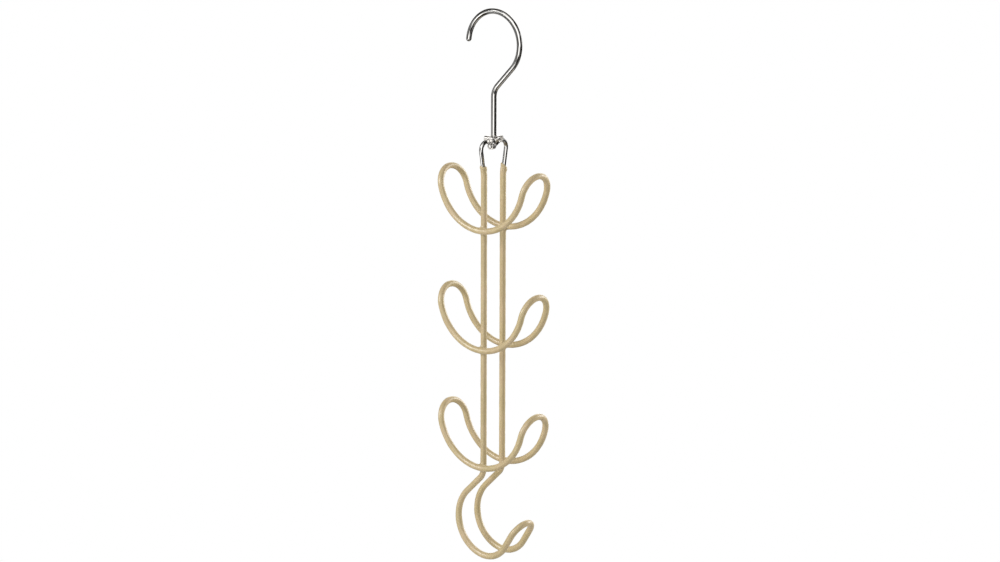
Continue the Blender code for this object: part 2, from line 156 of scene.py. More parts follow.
# %% A flat outline pressed over a former
def pressed(distance, outline, former):
    """Centre, direction and sheet normal of a wire at an array of distances.

    The outline gives (s, y, flat course f). The former gives (x, z, course c) at s. Then the
    centre is (x, y, z), the direction is cos f (cos c, 0, sin c) + sin f (0, 1, 0), and the
    normal is (-sin c, 0, cos c).
    """
    along, across, flat = follow(distance, *outline)
    x, z, course = follow(along, *former)
    level = np.zeros_like(x)
    centre = np.stack([x, across, z], axis=-1)
    forward, sideways = np.cos(flat), np.sin(flat)
    direction = np.stack([forward * np.cos(course), sideways, forward * np.sin(course)], axis=-1)
    normal = np.stack([-np.sin(course), level, np.cos(course)], axis=-1)
    return centre, direction, normal


def swept(distance, radius, around, outline, former):
    """A round skin about a pressed wire: centre + radius (cos v normal + sin v side)."""
    centre, direction, normal = pressed(distance, outline, former)
    side = np.cross(direction, normal)
    outward = np.cos(around)[..., None] * normal + np.sin(around)[..., None] * side
    return centre + radius[..., None] * outward, outward


def straightened(distance, radius, around):
    """Where each point of the skin was before the wire was bent: a straight rod along Z."""
    return np.stack([radius * np.cos(around), radius * np.sin(around), distance], axis=-1)


straight_line, round_former = [(1.0, 0.0)], [bend(1.0, 90.0)]
trial, _, _ = pressed(np.array([1.0]), (straight_line, (0, 0), 0.0), (round_former, (0, 0), 0.0))
print("a metre of wire pressed over a metre's radius ends at", np.round(trial[0], 3).tolist())

# %% [markdown]
# ## From a grid to a piece
#
# A surface with two parameters is a rectangle of points: one way along the wire, the other way
# round it. Its faces need no search, because each joins a point to its next neighbours, so one
# index sum writes them all. Rings of radius nothing close an end, and merging their points turns
# the thin last squares into a neat fan of triangles.

# %% Grids into meshes
SAME_POINT = 1e-7


def grid_faces(rows, columns, ring, loop):
    """Corner numbers of a grid's squares, ordered so that they face outwards.

    Point (i, j) has number i * columns + j. ring joins the last column to the first, and loop
    joins the last row to the first.
    """
    i = np.arange(rows if loop else rows - 1)[:, None]
    j = np.arange(columns if ring else columns - 1)[None, :]
    here = i * columns + j
    right = i * columns + (j + 1) % columns
    next_row = ((i + 1) % rows) * columns
    corners = np.stack([here, right, next_row + (j + 1) % columns, next_row + j], axis=-1)
    return corners.reshape(-1, 4)


def make_piece(name, points, faces, **marks):
    """A named object from points and faces, with doubled points merged and smooth shading.

    Each mark is an array of vectors, one for each point, kept as an attribute of that name.
    """
    mesh = bpy.data.meshes.new(name)
    mesh.from_pydata(points.reshape(-1, 3), [], faces)
    for mark, vectors in marks.items():
        layer = mesh.attributes.new(mark, "FLOAT_VECTOR", "POINT")
        layer.data.foreach_set("vector", vectors.reshape(-1).astype(np.float32))
    shape = bmesh.new()
    shape.from_mesh(mesh)
    bmesh.ops.remove_doubles(shape, verts=shape.verts, dist=SAME_POINT)
    shape.to_mesh(mesh)
    shape.free()
    mesh.shade_smooth()
    piece = bpy.data.objects.new(name, mesh)
    bpy.context.scene.collection.objects.link(piece)
    print(name, "has", len(mesh.polygons), "faces")
    return piece


print("a tube of 3 rings of 8 points has", len(grid_faces(3, 8, True, False)), "squares")

# %% [markdown]
# ## Shader sums written as sums
#
# A finish is a small calculation at every point: take some noise, stretch it, add a constant,
# use it as roughness. Wiring Math nodes by hand hides that. This class wraps a socket, so the
# calculation reads as arithmetic and each operator adds its own Math node. Everything that isn't
# arithmetic comes from one method.

# %% A socket that can be added and multiplied
class Flow:
    """An output socket whose value varies over the surface."""

    def __init__(self, tree, socket):
        self.tree = tree
        self.socket = socket

    def worked(self, operation, first, second):
        """A Math node on two values, at least one of them a flow."""
        return self.tree.node("ShaderNodeMath", {"operation": operation}, {0: first, 1: second})

    def __add__(self, other):
        return self.worked("ADD", self, other)

    def __sub__(self, other):
        return self.worked("SUBTRACT", self, other)

    def __rsub__(self, other):
        return self.worked("SUBTRACT", other, self)

    def __mul__(self, other):
        return self.worked("MULTIPLY", self, other)

    __radd__ = __add__
    __rmul__ = __mul__


print("a flow can be added, subtracted and multiplied, from either side")

# %% A tree of nodes
class Tree:
    """A node tree that starts empty."""

    def __init__(self, owner):
        owner.use_nodes = True
        self.tree = owner.node_tree
        self.tree.nodes.clear()

    def node(self, kind, settings=None, sockets=None, output=0):
        """Add a node: its settings first, then the values or flows of its sockets."""
        made = self.tree.nodes.new(kind)
        for name, value in (settings or {}).items():
            setattr(made, name, value)
        for key, value in (sockets or {}).items():
            if isinstance(value, Flow):
                self.tree.links.new(value.socket, made.inputs[key])
            else:
                made.inputs[key].default_value = value
        return Flow(self, made.outputs[output]) if made.outputs else None

    def object_place(self):
        """Where a point is in its object's own coordinates."""
        return self.node("ShaderNodeTexCoord", {}, {}, 3)

    def mark(self, name):
        """The vector that a mesh keeps at each point under a name."""
        return self.node("ShaderNodeAttribute", {"attribute_name": name}, {}, 1)

    def mixed(self, share, first, second):
        """A colour between two, by a share that varies."""
        return self.node("ShaderNodeMix", {"data_type": "RGBA"}, {0: share, 6: first, 7: second}, 2)

    def noise(self, place, scale, detail=2.0, stretch=None):
        """Noise from 0 to 1 at a place, its coordinates first stretched where asked."""
        if stretch is not None:
            place = self.node("ShaderNodeVectorMath", {"operation": "MULTIPLY"}, {0: place, 1: stretch})
        return self.node("ShaderNodeTexNoise", {}, {"Vector": place, "Scale": scale, "Detail": detail})

    def ramped(self, value, low, high):
        """0 below low, 1 above high, and smooth between."""
        return self.node(
            "ShaderNodeMapRange",
            {"interpolation_type": "SMOOTHSTEP"},
            {"Value": value, "From Min": low, "From Max": high},
        )

    def near(self, place, point, reach):
        """1 at a point, falling smoothly to 0 at a distance."""
        gap = self.node("ShaderNodeVectorMath", {"operation": "DISTANCE"}, {0: place, 1: point}, 1)
        return 1.0 - self.ramped(gap, 0.0, reach)

    def bumped(self, height, distance):
        """A normal from a height that runs from 0 to 1 over a real distance."""
        return self.node("ShaderNodeBump", {}, {"Height": height, "Distance": distance})

    def finish(self, **sockets):
        """The principled shader and the material's output."""
        named = {name.replace("_", " "): value for name, value in sockets.items()}
        shader = self.node("ShaderNodeBsdfPrincipled", {}, named)
        self.node("ShaderNodeOutputMaterial", {}, {"Surface": shader})


print("a tree offers", [name for name in vars(Tree) if not name.startswith("_")])

# %% [markdown]
# ## Chrome on drawn wire
#
# Bright chrome is a mirror, but never a perfect one. The wire was pulled through a die, which
# leaves lines along it, and the plating levels them until they only soften the reflections. A
# noise on plain coordinates would lay such lines across the bends. So the noise reads the point's
# place on the straight rod, stretched fifty times along its length, and the lines follow every
# bend. A little haze, and a rubbed patch where the hook bears the weight, break the evenness.

# %% The chrome
RUBBED_REACH = 9 * MM


def chrome_finish():
    """Mirror chrome with drawing lines along the wire, haze, and rubbing at the origin."""
    material = bpy.data.materials.new("chromed_wire")
    tree = Tree(material)
    rod = tree.mark("straight_rod")
    place = tree.object_place()
    lines = tree.noise(rod, 2600.0, 3.0, (1.0, 1.0, 0.02))
    haze = tree.noise(place, 260.0, 4.0)
    rubbed = tree.near(place, (0.0, 0.0, 0.0), RUBBED_REACH)
    scuffs = tree.noise(place, 900.0, 2.0, (6.0, 0.2, 6.0))
    patchy = tree.ramped(haze, 0.45, 0.75)
    colour = tree.mixed(patchy * 0.5 + rubbed * 0.4, (0.80, 0.80, 0.80, 1), (0.68, 0.67, 0.65, 1))
    rough = 0.03 + lines * 0.04 + patchy * 0.05 + rubbed * scuffs * 0.30
    height = lines * 0.6 + rubbed * scuffs
    tree.finish(Base_Color=colour, Metallic=1.0, Roughness=rough, Normal=tree.bumped(height, 0.0015 * MM))
    return material


chrome = chrome_finish()
print("chrome uses", len(chrome.node_tree.nodes), "nodes")

# %% [markdown]
# ## Plated sheet steel
#
# The clip is pressed from thin strip. Strip is rolled, so its grain runs one way and is coarser
# than the wire's, and a few small pits stay open under the plating, which is duller than the
# chrome. The grain here runs along Y, the way the strip was fed.

# %% The clip's plating
def sheet_finish():
    """Bright nickel on rolled strip: grain along Y, small pits and a soft haze."""
    material = bpy.data.materials.new("plated_strip")
    tree = Tree(material)
    place = tree.object_place()
    grain = tree.noise(place, 2400.0, 3.0, (1.0, 0.06, 1.0))
    pits = tree.ramped(tree.noise(place, 2100.0, 1.0), 0.66, 0.74)
    haze = tree.noise(place, 420.0, 3.0)
    colour = tree.mixed(haze, (0.95, 0.93, 0.90, 1), (0.84, 0.81, 0.78, 1))
    rough = 0.20 + grain * 0.06 + haze * 0.06 + pits * 0.12
    normal = tree.bumped(grain - pits, 0.002 * MM)
    tree.finish(Base_Color=colour, Metallic=1.0, Roughness=rough, Normal=normal)
    return material


strip = sheet_finish()
print("strip uses", len(strip.node_tree.nodes), "nodes")

# %% [markdown]
# ## Dipped vinyl
#
# Vinyl plastisol is a thick liquid that is baked onto the hot wire. It flows before it sets, so
# its surface is a soft satin with a slight orange peel, and its champagne pigment clouds a
# little from rosy to olive. All of that is the same in every direction, so plain object
# coordinates carry it without a seam from one piece to the next.

# %% The vinyl
def vinyl_finish():
    """Satin champagne vinyl: clouded colour, orange peel and a very fine grain."""
    material = bpy.data.materials.new("dipped_vinyl")
    tree = Tree(material)
    place = tree.object_place()
    clouds = tree.ramped(tree.noise(place, 75.0, 3.0), 0.35, 0.65)
    flow = tree.ramped(tree.noise(place, 190.0, 2.0, (1.0, 1.0, 0.35)), 0.3, 0.7)
    peel = tree.noise(place, 750.0, 2.0)
    grain = tree.noise(place, 5200.0, 2.0)
    tone = tree.mixed(clouds, (0.573, 0.46, 0.25, 1), (0.598, 0.46, 0.277, 1))
    colour = tree.mixed(flow * 0.55 + grain * 0.2, tone, (0.465, 0.368, 0.182, 1))
    rough = 0.25 + flow * 0.06 + grain * 0.05
    height = peel * 0.8 + grain * 0.2
    normal = tree.bumped(height, 0.012 * MM)
    tree.finish(
        Base_Color=colour,
        Roughness=rough,
        Specular_IOR_Level=0.8,
        Sheen_Weight=0.25,
        Sheen_Roughness=0.35,
        Normal=normal,
    )
    return material


vinyl = vinyl_finish()
print("vinyl uses", len(vinyl.node_tree.nodes), "nodes")

# %% [markdown]
# ## Bare steel under the vinyl
#
# The three loop wires never show, because the vinyl covers them all the way round. Their plain
# solids are right as they are. They only need the look of cleaned steel with a trace of scale,
# for whoever takes the coating off.

# %% The cores
def steel_finish():
    """Cleaned mild steel wire: grey, dull, with darker specks of mill scale."""
    material = bpy.data.materials.new("cleaned_steel")
    tree = Tree(material)
    place = tree.object_place()
    scale = tree.ramped(tree.noise(place, 900.0, 3.0), 0.55, 0.7)
    brushed = tree.noise(place, 3000.0, 2.0)
    colour = tree.mixed(scale, (0.50, 0.49, 0.47, 1), (0.22, 0.21, 0.20, 1))
    tree.finish(
        Base_Color=colour,
        Metallic=1.0,
        Roughness=0.32 + brushed * 0.2 + scale * 0.15,
        Normal=tree.bumped(brushed, 0.01 * MM),
    )
    return material


steel = steel_finish()
for label in ("top", "middle", "bottom"):
    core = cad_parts["loop_wire_" + label]
    core.data.materials.clear()
    core.data.materials.append(steel)
print("steel on three cores")

# %% [markdown]
# ## The top hook
#
# One thick chromed wire: a straight shank, a bend that leads it out, and a wide bowl to hang by.
# Its lower end is upset into a flat head that turns under the clip's plate. A tube and a
# separate disc would show a seam there. On the real wire the head is forged from the same
# metal, so here the swept circle's radius simply grows into the head and closes to a point.
# The other end is a ball, which won't scratch what it hangs on.

# %% The hook's path
HEAD_RADIUS = 2.7 * MM
HEAD_THICKNESS = 0.8 * MM
HEAD_ROUNDING = 0.3 * MM
HEAD_FILLET = 0.15 * MM
HEAD_DEPTH = CLIP_DEPTH + STRIP + GAP + HEAD_THICKNESS

hook_runs = [
    (HEAD_DEPTH - neck_depth, 0.0),
    bend(NECK_RADIUS, -NECK_ANGLE),
    (neck_run, 0.0),
    bend(BOWL_RADIUS, NECK_ANGLE + 90.0 + TIP_PAST_LEVEL),
]
hook_length = length_of(hook_runs)
hook_outline = ([(hook_length, 0.0)], (0.0, 0.0), 0.0)
hook_former = (hook_runs, (0.0, -HEAD_DEPTH), 90.0)
print("the hook's wire is", round(hook_length / MM, 1), "mm long")

# %% The hook's surface
HOOK_ROUND = 64
HOOK_STEP = 0.45 * MM
HEAD_RING = 0.6 * HEAD_RADIUS

dome = np.linspace(0, np.pi, 13)
head_radius = HEAD_RADIUS - HEAD_ROUNDING + HEAD_ROUNDING * np.sin(dome)
head_place = HEAD_THICKNESS / 2 * (1 - np.cos(dome))
ball = np.linspace(0, np.pi / 2, 12)
stem = np.arange(HEAD_THICKNESS + HAIR, hook_length, HOOK_STEP)
stations = np.concatenate([
    [0, 0],
    head_place,
    [HEAD_THICKNESS],
    stem,
    hook_length + HOOK_WIRE / 2 * np.sin(ball),
])
shares = np.concatenate([
    [0, HEAD_RING],
    head_radius,
    [HOOK_WIRE / 2 + HEAD_FILLET],
    np.full(len(stem), HOOK_WIRE / 2),
    HOOK_WIRE / 2 * np.cos(ball),
])

around = np.linspace(0, 2 * np.pi, HOOK_ROUND, endpoint=False)
distance, turned = np.meshgrid(stations, around, indexing="ij")
radius = np.repeat(shares[:, None], HOOK_ROUND, axis=1)
skin, _ = swept(distance, radius, turned, hook_outline, hook_former)
hook = make_piece(
    "top_hook",
    skin,
    grid_faces(len(stations), HOOK_ROUND, True, False),
    straight_rod=straightened(distance, radius, turned),
)
hook.data.materials.append(chrome)
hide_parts("hook")
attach(hook, "hook")

# %% [markdown]
# ## The frame wire's path
#
# One wire makes the bail, both rods and the foot hook. Drawn flat it is a long hairpin with its
# two ends turned in under the clip. The back end dips by one wire's thickness to lie under the
# front end, so that the clip can close round both. The former is straight as far as the lowest
# loop, swings back, and then curls forward into the foot's bowl.

# %% Sizes of the bail and the foot
BAIL_CORNER = 5.6 * MM
BAIL_REACH = 13.7 * MM
FLARE = 10.8
FLARE_BEND = 20.0 * MM
DIP = 30.0
BACK_END = -4.6 * MM

FOOT_BEND = 46.0
FOOT_RUN = 16.8 * MM
FOOT_BOWL = 26.6 * MM
FOOT_BOWL_ANGLE = 126.0
FOOT_CLOSE = 21.0 * MM
FOOT_CLOSE_ANGLE = 68.0
FOOT_TIP = 20.6 * MM
print("the bail is", round(2 * BAIL_REACH / MM, 1), "mm wide")

# %% Runs of the frame wire
upper_end = HEAD_DEPTH + GAP + BARE_WIRE / 2
lower_end = upper_end + BARE_WIRE + GAP
flare, dip = math.radians(FLARE), math.radians(DIP)
level = BAIL_REACH - BAIL_CORNER
side_run = (level + BAIL_CORNER * math.cos(flare) - ROD_SPACING / 2) / math.sin(flare)
side_run -= FLARE_BEND * math.tan(flare / 2)
rod_top = upper_end + BAIL_CORNER * (1 + math.sin(flare)) + side_run * math.cos(flare)
rod_top += FLARE_BEND * math.sin(flare)
dive = (lower_end - upper_end - 2 * BAIL_CORNER * (1 - math.cos(dip))) / math.sin(dip)
back_level = level - 2 * BAIL_CORNER * math.sin(dip) - dive * math.cos(dip) - BACK_END

foot_runs = [
    (FOOT_DEPTH, 0.0),
    bend(FOOT_OUT, -FOOT_BEND),
    (FOOT_RUN, 0.0),
    bend(FOOT_BOWL, FOOT_BOWL_ANGLE),
    bend(FOOT_CLOSE, FOOT_CLOSE_ANGLE),
    (FOOT_TIP, 0.0),
]
rod_run = length_of(foot_runs) - ROD_SPACING / 2 - rod_top
frame_runs = [
    (level, 0.0),
    bend(BAIL_CORNER, 90.0 + FLARE),
    (side_run, 0.0),
    bend(FLARE_BEND, -FLARE),
    (rod_run, 0.0),
    bend(ROD_SPACING / 2, 180.0),
    (rod_run, 0.0),
    bend(FLARE_BEND, -FLARE),
    (side_run, 0.0),
    bend(BAIL_CORNER, 90.0 + FLARE + DIP),
    (dive, 0.0),
    bend(BAIL_CORNER, -DIP),
    (back_level, 0.0),
]
frame_length = length_of(frame_runs)
frame_outline = (frame_runs, (upper_end, 0.0), -90.0)
frame_former = (foot_runs, (0.0, 0.0), -90.0)
ends, _, _ = pressed(np.array([0.0, frame_length]), frame_outline, frame_former)
print("frame wire is", round(frame_length / MM, 1), "mm long")
print("its ends are at", np.round(ends / MM, 2).tolist())

# %% [markdown]
# ## The bare frame wire
#
# Only its top shows: the chromed bail and the two cut ends inside the clip. A shear leaves a
# flat face with a broken edge, so the radius falls in two steps before it closes. Under the
# vinyl the wire goes on unseen, and there the rings stand further apart.

# %% The frame wire's surface
BARE_ROUND = 48
CHAMFER = 0.25 * MM


def cut_ends(length, shown, fine, coarse, radius):
    """Stations and radii of a wire with a flat, chamfered face at each end.

    Rings are fine apart over the shown lengths at both ends, and coarse between.
    """
    near = np.arange(CHAMFER, shown, fine)
    middle = np.arange(shown, length - shown, coarse)
    far = length - near[::-1]
    face = np.array([0.0, 0.0, 0.0, 0.3 * CHAMFER])
    face_radius = np.array([0.0, 0.5 * radius, radius - CHAMFER, radius - 0.3 * CHAMFER])
    body = np.concatenate([near, middle, far])
    stations = np.concatenate([face, body, length - face[::-1]])
    radii = np.concatenate([face_radius, np.full(len(body), radius), face_radius[::-1]])
    return stations, radii


stations, shares = cut_ends(
    frame_length, shown=48 * MM, fine=0.4 * MM, coarse=2.0 * MM, radius=BARE_WIRE / 2
)
around = np.linspace(0, 2 * np.pi, BARE_ROUND, endpoint=False)
distance, turned = np.meshgrid(stations, around, indexing="ij")
radius = np.repeat(shares[:, None], BARE_ROUND, axis=1)
skin, _ = swept(distance, radius, turned, frame_outline, frame_former)
bare = make_piece(
    "bail_and_rods",
    skin,
    grid_faces(len(stations), BARE_ROUND, True, False),
    straight_rod=straightened(distance, radius, turned),
)
bare.data.materials.append(chrome)
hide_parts("frame_wire")
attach(bare, "hanger")

# %% [markdown]
# ## Where loop and rod melt together
#
# Liquid vinyl fills the corner between two crossing wires with a smooth fillet. Booleans would
# leave a crease, and a sculpted blend wouldn't repeat. A smooth minimum gives the fillet as a
# formula. Let a and b be the distances to the two skins. Their plain union is where the smaller
# is zero. Taking h squared over 4k from it, with h = max(k - |a - b|, 0), rounds the corner over
# a width k. Each skin is moved out along its own normal until that sum is zero, so both meet in
# one surface.

# %% Distances to the skins, and the fillet
COATED = BARE_WIRE / 2 + COAT
LOOP_BEND = 38.0 * MM
LOOP_HALF = ROD_SPACING / 2 + BARE_WIRE + GAP
FILLET = 2.2 * MM
FILLET_ROUNDS = 12
FAR = 1.0


def beside(value, places):
    """Distance from a value to the nearest of some places."""
    return np.min(np.abs(value[..., None] - np.array(places)), axis=-1)


def to_rods(point):
    """Distance to the rods' skin: two straight lines, then the arc that starts the foot."""
    x, y, z = np.moveaxis(point, -1, 0)
    below = np.abs(np.hypot(x + FOOT_OUT, z + FOOT_DEPTH) - FOOT_OUT)
    off_line = np.where(z > -FOOT_DEPTH, np.abs(x), below)
    off_plane = beside(y, (-ROD_SPACING / 2, ROD_SPACING / 2))
    return np.hypot(off_line, off_plane) - COATED


def to_loops(point):
    """Distance to the loops' skin near the welds: the bottom of each saddle's arc."""
    x, y, z = np.moveaxis(point, -1, 0)
    above = z[..., None] + np.array(LOOP_DEPTHS) - LOOP_BEND
    off_arc = np.abs(np.hypot(x[..., None], above) - LOOP_BEND)
    off_arc = np.min(np.where(above < 0, off_arc, FAR), axis=-1)
    off_plane = beside(y, (-LOOP_HALF, LOOP_HALF))
    return np.hypot(off_arc, off_plane) - COATED


def filleted(skin, outward, other):
    """Move a skin out until own distance - h^2 / 4k is zero, with h from the other's distance.

    Each round puts the last lift into the formula, and the lift settles within a few rounds.
    """
    lift = np.zeros(skin.shape[:-1])
    for _ in range(FILLET_ROUNDS):
        gap = other(skin + lift[..., None] * outward)
        lift = np.maximum(FILLET - np.abs(lift - gap), 0) ** 2 / (4 * FILLET)
    return skin + lift[..., None] * outward, lift


probe = np.array([[COATED, -ROD_SPACING / 2, -LOOP_DEPTHS[0] + 5 * MM]])
print("at that height the loop's skin is", round(float(to_loops(probe)[0]) / MM, 2), "mm away")

# %% [markdown]
# ## The coating on the frame
#
# The skin starts at a rim on each side of the bail. The frame is held by its bail, dipped up to
# there and hung to drain, so each rim is a rounded lip with a bead behind it, and no two sides
# are alike. The rings nearest the rim follow its uneven line, and that unevenness fades out over
# a few millimetres. The skin is hollow: the rings run down the outside to the other rim and come
# back along the wire, which makes one closed surface.

# %% The frame coating's surface
SKIN_ROUND = 40
COAT_DEPTH = CLIP_DEPTH + COAT_DROP
LIP = 0.7 * MM
BEAD_PLACE = 1.0 * MM
BEAD_REACH = 0.8 * MM
CLING = 0.02 * MM
SWELL = 0.02 * MM

search = np.arange(0, frame_length, HAIR)
depth = -pressed(search, frame_outline, frame_former)[0][:, 2]
covered = search[depth > COAT_DEPTH]
front_rim, back_rim = covered[0], covered[-1]
print("rims at", round(front_rim / MM, 1), "and", round(back_rim / MM, 1), "mm along the wire")


def rim_line(turned, tilt, towards, ripple):
    """How far the rim stands above its mean level, round the wire: a tilt and two ripples."""
    lean = tilt * np.cos(turned - math.radians(towards))
    return lean + ripple * (0.6 * np.cos(2 * turned + 1.0) + 0.4 * np.cos(3 * turned + 2.2))


def rim_thickness(below, turned, bead, towards, drop, drop_place, drop_reach):
    """The coating's thickness at a distance below its rim.

    A quarter ellipse rises over the lip. A bead stands behind it, and on one side a drop that
    ran down while the dip set: both are bell curves along the wire.
    """
    lip = np.sqrt(np.clip(1 - (1 - np.clip(below / LIP, 0, 1)) ** 2, 0, 1))
    ridge = bead * np.exp(-(((below - BEAD_PLACE) / BEAD_REACH) ** 2))
    facing = np.clip(np.cos(turned - math.radians(towards)), 0, 1) ** 2
    run = drop * facing * np.exp(-(((below - drop_place) / drop_reach) ** 2))
    return (COAT + ridge) * lip + run


def uneven(point):
    """Slow swells of a hand-dipped skin, a few hundredths of a millimetre."""
    x, y, z = np.moveaxis(point, -1, 0)
    slow = np.sin(310 * z + 170 * x) + np.sin(540 * z - 390 * y + 1.3)
    return SWELL * (slow + np.sin(900 * x + 710 * z))


print("at one place the skin swells by", round(float(uneven(np.zeros(3))) / MM, 3), "mm")

# %% [markdown]
# The two rims differ. The front one stands higher and lies nearly level. The back one hangs lower
# on one side, with a longer drop behind it. At the foot, where the last of the liquid gathers
# while the frame drains, the coating is a little thicker all round.

# %% Rings of the skin, and its thickness on them
FRONT_RISE = 0.8 * MM
BACK_FALL = 0.6 * MM
FADE = 3 * MM
CLOSE_FROM = LIP + 0.15 * MM
CLOSE_REACH = 9 * MM
CLOSE_STEP = 0.25 * MM
WIDE_STEP = 0.6 * MM

around = np.linspace(0, 2 * np.pi, SKIN_ROUND, endpoint=False)
lip_steps = LIP * (1 - np.cos(np.linspace(0, np.pi / 2, 9)))
half_way = (back_rim - front_rim) / 2
close = np.arange(CLOSE_FROM, CLOSE_REACH, CLOSE_STEP)
wide = np.linspace(CLOSE_REACH, half_way, int(half_way / WIDE_STEP))
steps = np.concatenate([lip_steps, close, wide])
below, turned = np.meshgrid(steps, around, indexing="ij")
fade = np.exp(-below / FADE)

front_line = rim_line(turned, tilt=0.5 * MM, towards=150.0, ripple=0.15 * MM)
back_line = rim_line(turned, tilt=1.3 * MM, towards=215.0, ripple=0.3 * MM)
front = front_rim + below - (FRONT_RISE + front_line) * fade
back = back_rim - below - (BACK_FALL - back_line) * fade
front_thick = rim_thickness(
    below, turned, bead=0.22 * MM, towards=-45.0, drop=0.42 * MM, drop_place=1.7 * MM, drop_reach=1.2 * MM
)
back_thick = rim_thickness(
    below, turned, bead=0.18 * MM, towards=35.0, drop=0.50 * MM, drop_place=3.2 * MM, drop_reach=1.8 * MM
)
distance = np.concatenate([front, back[-2::-1]])
thickness = np.concatenate([front_thick, back_thick[-2::-1]])
outer_turn = np.concatenate([turned, turned[:-1]])
print("the skin has", len(distance), "rings from rim to rim")

# %% The skin and its bore
POOL_FROM = 350 * MM
POOL_REACH = 20 * MM
POOL_THICK = 0.12 * MM
BORE_START = 2 * MM
BORE_RINGS = 300

centre, _, _ = pressed(distance, frame_outline, frame_former)
pooled = np.clip((-centre[..., 2] - POOL_FROM) / POOL_REACH, 0, 1)
radius = BARE_WIRE / 2 - CLING + thickness + POOL_THICK * pooled
radius += uneven(centre) * np.clip(thickness / COAT, 0, 1)
skin, outward = swept(distance, radius, outer_turn, frame_outline, frame_former)
skin, lift = filleted(skin, outward, to_loops)
print("the fillet stands up to", round(lift.max() / MM, 2), "mm proud")

bore_steps = np.linspace(back_rim - BORE_START, front_rim + BORE_START, BORE_RINGS)
bore_distance, bore_turn = np.meshgrid(bore_steps, around, indexing="ij")
bore_radius = np.full(bore_distance.shape, BARE_WIRE / 2 - 2 * CLING)
bore, _ = swept(bore_distance, bore_radius, bore_turn, frame_outline, frame_former)
shell = np.concatenate([skin, bore])
frame_skin = make_piece("frame_skin", shell, grid_faces(len(shell), SKIN_ROUND, True, True))
frame_skin.data.materials.append(vinyl)
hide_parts("frame_coating")
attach(frame_skin, "hanger")

# %% [markdown]
# ## The coating on the loops
#
# Flat, a loop is a long ring: two straight strands joined by half circles. Pressed over a round
# former it becomes a saddle whose ends stand up. All three loops come from the same bench, so
# one surface serves for all, moved down by the pitch. Each still gets its own fillets and its own
# slow swells, because those are worked out from where its points are.

# %% The loop coatings' surface
LOOP_ANGLE = 75.0
LOOP_LEG = 13.7 * MM
LOOP_ROUND = 36
LOOP_RINGS = 560

former_runs = [(LOOP_LEG, 0.0), bend(LOOP_BEND, 2 * LOOP_ANGLE), (LOOP_LEG, 0.0)]
reach = length_of(former_runs) / 2
strand = reach - LOOP_HALF
loop_runs = [
    (strand, 0.0),
    bend(LOOP_HALF, 180.0),
    (2 * strand, 0.0),
    bend(LOOP_HALF, 180.0),
    (strand, 0.0),
]
loop_length = length_of(loop_runs)
middle_x, middle_z, _ = follow(np.array([reach]), former_runs, (0.0, 0.0), -LOOP_ANGLE)
loop_outline = (loop_runs, (reach, -LOOP_HALF), 0.0)

stations = np.linspace(0, loop_length, LOOP_RINGS, endpoint=False)
around = np.linspace(0, 2 * np.pi, LOOP_ROUND, endpoint=False)
distance, turned = np.meshgrid(stations, around, indexing="ij")

for label, depth in zip(("top", "middle", "bottom"), LOOP_DEPTHS):
    loop_former = (former_runs, (-middle_x[0], -depth - middle_z[0]), -LOOP_ANGLE)
    centre, _, _ = pressed(distance, loop_outline, loop_former)
    radius = COATED + uneven(centre)
    skin, outward = swept(distance, radius, turned, loop_outline, loop_former)
    skin, _ = filleted(skin, outward, to_rods)
    faces = grid_faces(LOOP_RINGS, LOOP_ROUND, True, True)
    loop_skin = make_piece("loop_skin_" + label, skin, faces)
    loop_skin.data.materials.append(vinyl)
    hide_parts("loop_coating_" + label)
    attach(loop_skin, "hanger")
print("one loop takes", round(loop_length / MM, 1), "mm of wire")

# %% [markdown]
# ## The folded clip
#
# The clip is strip metal, so it is made the way the press makes it: a flat blank with an outline,
# folded along a path. The blank's outline is given by two widths along its length: how far it
# reaches to each side, and how wide the opening in its middle is. The opening is first the notch
# that sits over the wire, then the hole for the shank, then the second notch. Rows are packed
# closely where an edge is round. Solidify then gives the strip its thickness, and Bevel breaks
# its edges as tumbling does.

# %% The blank of the saddle
CLIP_LENGTH = 12.4 * MM
CLIP_HALF = HEAD_RADIUS + GAP + STRIP
FOLD = 1.0 * MM
TOE = 1.5 * MM
NOTCH = BARE_WIRE / 2 + GAP
HOLE = HOOK_WIRE / 2 + GAP
TONGUE_FROM, TONGUE_TO = -3.9 * MM, -0.3 * MM
TONGUE_ROOT = 2.6 * MM
RELIEF = 0.25 * MM

plate_depth = CLIP_DEPTH + STRIP / 2
leg_y = CLIP_LENGTH / 2 - STRIP / 2
leg = upper_end + BARE_WIRE / 2 - plate_depth - FOLD
saddle_runs = [
    (leg, 0.0),
    bend(FOLD, -90.0),
    (2 * (leg_y - FOLD), 0.0),
    bend(FOLD, -90.0),
    (leg, 0.0),
]
saddle = (saddle_runs, (-leg_y, -plate_depth - FOLD - leg), 90.0)
half_blank = length_of(saddle_runs) / 2

quarter = np.linspace(0, np.pi / 2, 10)
near_rows = np.concatenate([
    TOE * (1 - np.cos(quarter)),
    TOE + NOTCH * np.sin(quarter),
    np.linspace(leg, leg + FOLD * np.pi / 2, 10),
    half_blank + np.array([TONGUE_FROM - RELIEF, TONGUE_FROM, TONGUE_TO, TONGUE_TO + RELIEF]),
    half_blank - HOLE * np.cos(quarter),
])
rows = np.unique(np.round(np.concatenate([near_rows, 2 * half_blank - near_rows]), 8))
from_end = np.minimum(rows, 2 * half_blank - rows)
toe = np.sqrt(np.clip(TOE**2 - np.clip(TOE - from_end, 0, TOE) ** 2, 0, None))
wide = CLIP_HALF - TOE + toe
arch = np.sqrt(np.clip(NOTCH**2 - np.clip(from_end - TOE, 0, NOTCH) ** 2, 0, None))
hole = np.sqrt(np.clip(HOLE**2 - np.clip(half_blank - from_end, 0, HOLE) ** 2, 0, None))
opening = np.maximum(arch, hole)
place = rows - half_blank
